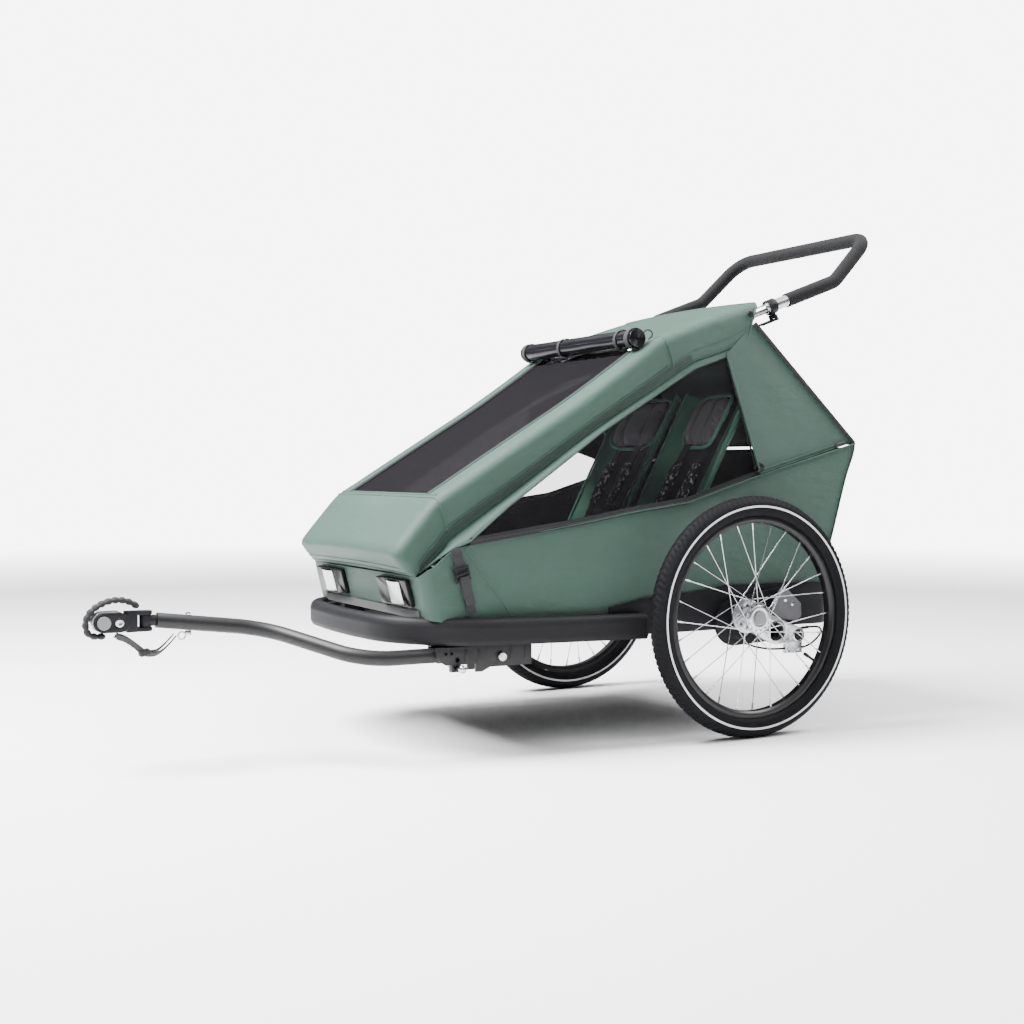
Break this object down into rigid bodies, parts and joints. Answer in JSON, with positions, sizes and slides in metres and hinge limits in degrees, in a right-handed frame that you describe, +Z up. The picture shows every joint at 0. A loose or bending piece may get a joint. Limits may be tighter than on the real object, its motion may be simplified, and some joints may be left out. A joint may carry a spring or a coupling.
{
  "type": "child bicycle trailer",
  "caption": "Two-seat child bicycle trailer with sprung wheels, offset drawbar and axle hitch, zipped fabric cabin, folding roof frame and telescoping push handle.",
  "frame": {"origin": "middle of the overall length and width, on the ground under the tyres", "axes": "+X forward to the hitch, +Y to the left, +Z up"},
  "size_m": [1.7373, 0.815, 1.0963],
  "materials": {
    "green_fabric": "woven coated polyester",
    "seat_fabric": "woven polyester",
    "pad_fabric": "brushed padded fabric",
    "mesh_fabric": "fine insect mesh",
    "webbing": "ribbed webbing",
    "window_film": "tinted clear film",
    "cover_film": "rolled glossy film",
    "black_moulding": "fine grained",
    "gloss_black": "smooth",
    "grey_plastic": "fine grained",
    "clear_lens": "prismatic reflector",
    "black_paint": "satin powder coat",
    "silver_tube": "anodised",
    "cast_alloy": "satin cast",
    "bright_steel": "polished",
    "black_rim": "satin anodised",
    "tyre_rubber": "treaded with a reflective stripe",
    "rubber": "matt",
    "foam": "closed-cell foam"
  },
  "bodies": {
    "chassis": {"bumper": "black_moulding", "base_frame": "black_paint", "floor_pan": "black_moulding", "tub": "green_fabric", "skirt": "black_moulding", "reflector_housings": "gloss_black", "reflector_lenses": "clear_lens", "carriers": "black_moulding", "carrier_covers": "grey_plastic", "cover_bolts": "bright_steel", "elastomer_left": "rubber", "elastomer_right": "rubber", "receiver": "black_paint", "receiver_bolt": "bright_steel", "rear_bag": "green_fabric", "rear_cover": "green_fabric", "windows": "window_film", "side_straps": "webbing", "seats": "seat_fabric", "headrests": "pad_fabric", "harnesses": "webbing"},
    "arm_left": {"swing_arm_left": "cast_alloy", "axle_left": "bright_steel", "brake_cable_left": "rubber"},
    "arm_right": {"swing_arm_right": "cast_alloy", "axle_right": "bright_steel", "brake_cable_right": "rubber"},
    "wheel_left": {"tyre_left": "tyre_rubber", "rim_left": "black_rim", "spokes_left": "bright_steel", "hub_left": "cast_alloy", "bearings_left": "bright_steel"},
    "wheel_right": {"tyre_right": "tyre_rubber", "rim_right": "black_rim", "spokes_right": "bright_steel", "hub_right": "cast_alloy", "bearings_right": "bright_steel"},
    "cap_left": {"release_cap_left": "grey_plastic"},
    "cap_right": {"release_cap_right": "grey_plastic"},
    "drawbar": {"drawbar": "black_paint", "drawbar_eye": "black_moulding", "strap_clamp": "bright_steel", "safety_strap": "webbing"},
    "lock_pin": {"lock_pin": "bright_steel"},
    "hitch": {"hitch_head": "black_moulding", "hitch_shell": "cast_alloy", "hitch_strap": "rubber"},
    "hitch_button": {"hitch_button": "grey_plastic"},
    "hitch_key": {"hitch_key": "bright_steel"},
    "roof": {"roof_frame": "silver_tube", "canopy": "green_fabric", "front_hood": "green_fabric", "mesh_screen": "mesh_fabric", "cover_roll": "cover_film"},
    "uprights": {"seat_uprights": "black_paint"},
    "handle": {"handle_tube": "silver_tube", "handle_grip": "foam", "clamp_collars": "black_moulding"},
    "lever_left": {"clamp_lever_left": "black_moulding"},
    "lever_right": {"clamp_lever_right": "black_moulding"}
  },
  "joints": [
    {"name": "suspension_left", "type": "hinge", "parent": "chassis", "child": "arm_left", "pos_m": [-0.56325, 0.3445, 0.201], "axis": [0, 1, 0], "range_deg": [-10, 0], "stiffness_Nm_per_rad": 520, "springref_deg": 2.01, "deforming": ["elastomer_left", "brake_cable_left"]},
    {"name": "wheel_left_spin", "type": "hinge", "parent": "arm_left", "child": "wheel_left", "pos_m": [-0.42125, 0.382, 0.25], "axis": [0, 1, 0], "continuous": true},
    {"name": "release_cap_left_press", "type": "slide", "parent": "wheel_left", "child": "cap_left", "axis": [0, -1, 0], "range_m": [0, 0.003], "stiffness_N_per_m": 1500},
    {"name": "suspension_right", "type": "hinge", "parent": "chassis", "child": "arm_right", "pos_m": [-0.56325, -0.3445, 0.201], "axis": [0, 1, 0], "range_deg": [-10, 0], "stiffness_Nm_per_rad": 520, "springref_deg": 2.01, "deforming": ["elastomer_right", "brake_cable_right"]},
    {"name": "wheel_right_spin", "type": "hinge", "parent": "arm_right", "child": "wheel_right", "pos_m": [-0.42125, -0.382, 0.25], "axis": [0, 1, 0], "continuous": true},
    {"name": "release_cap_right_press", "type": "slide", "parent": "wheel_right", "child": "cap_right", "axis": [0, 1, 0], "range_m": [0, 0.003], "stiffness_N_per_m": 1500},
    {"name": "drawbar_slide", "type": "slide", "parent": "chassis", "child": "drawbar", "axis": [1, 0, 0], "range_m": [0, 0.13]},
    {"name": "lock_pin_pull", "type": "slide", "parent": "drawbar", "child": "lock_pin", "axis": [0, 1, 0], "range_m": [0, 0.055]},
    {"name": "hitch_yaw", "type": "hinge", "parent": "drawbar", "child": "hitch", "pos_m": [0.75775, 0.08, 0.273], "axis": [0, 0, 1], "range_deg": [-40, 40]},
    {"name": "hitch_button_press", "type": "slide", "parent": "hitch", "child": "hitch_button", "axis": [0, -1, 0], "range_m": [0, 0.003], "stiffness_N_per_m": 1200},
    {"name": "hitch_key_turn", "type": "hinge", "parent": "hitch", "child": "hitch_key", "pos_m": [0.80875, 0.098, 0.273], "axis": [0, 1, 0], "range_deg": [0, 90]},
    {"name": "roof_fold", "type": "hinge", "parent": "chassis", "child": "roof", "pos_m": [0.24075, 0, 0.378], "axis": [0, 1, 0], "range_deg": [-30, 0], "deforming": ["rear_bag", "rear_cover", "windows", "seats", "headrests", "harnesses"]},
    {"name": "upright_fold", "type": "hinge", "parent": "roof", "child": "uprights", "pos_m": [-0.51625, 0, 0.88193], "axis": [0, 1, 0], "range_deg": [-75, 0]},
    {"name": "handle_extend", "type": "slide", "parent": "roof", "child": "handle", "axis": [-0.9379, 0, 0.3469], "range_m": [-0.025, 0.04]},
    {"name": "clamp_lever_left_open", "type": "hinge", "parent": "handle", "child": "lever_left", "pos_m": [-0.57206, 0.252, 0.88658], "axis": [0, 1, 0], "range_deg": [0, 70]},
    {"name": "clamp_lever_right_open", "type": "hinge", "parent": "handle", "child": "lever_right", "pos_m": [-0.57206, -0.252, 0.88658], "axis": [0, 1, 0], "range_deg": [0, 70]}
  ],
  "couplings": [
    {"joint": "upright_fold", "follows": "roof_fold", "ratio": 2.5}
  ]
}
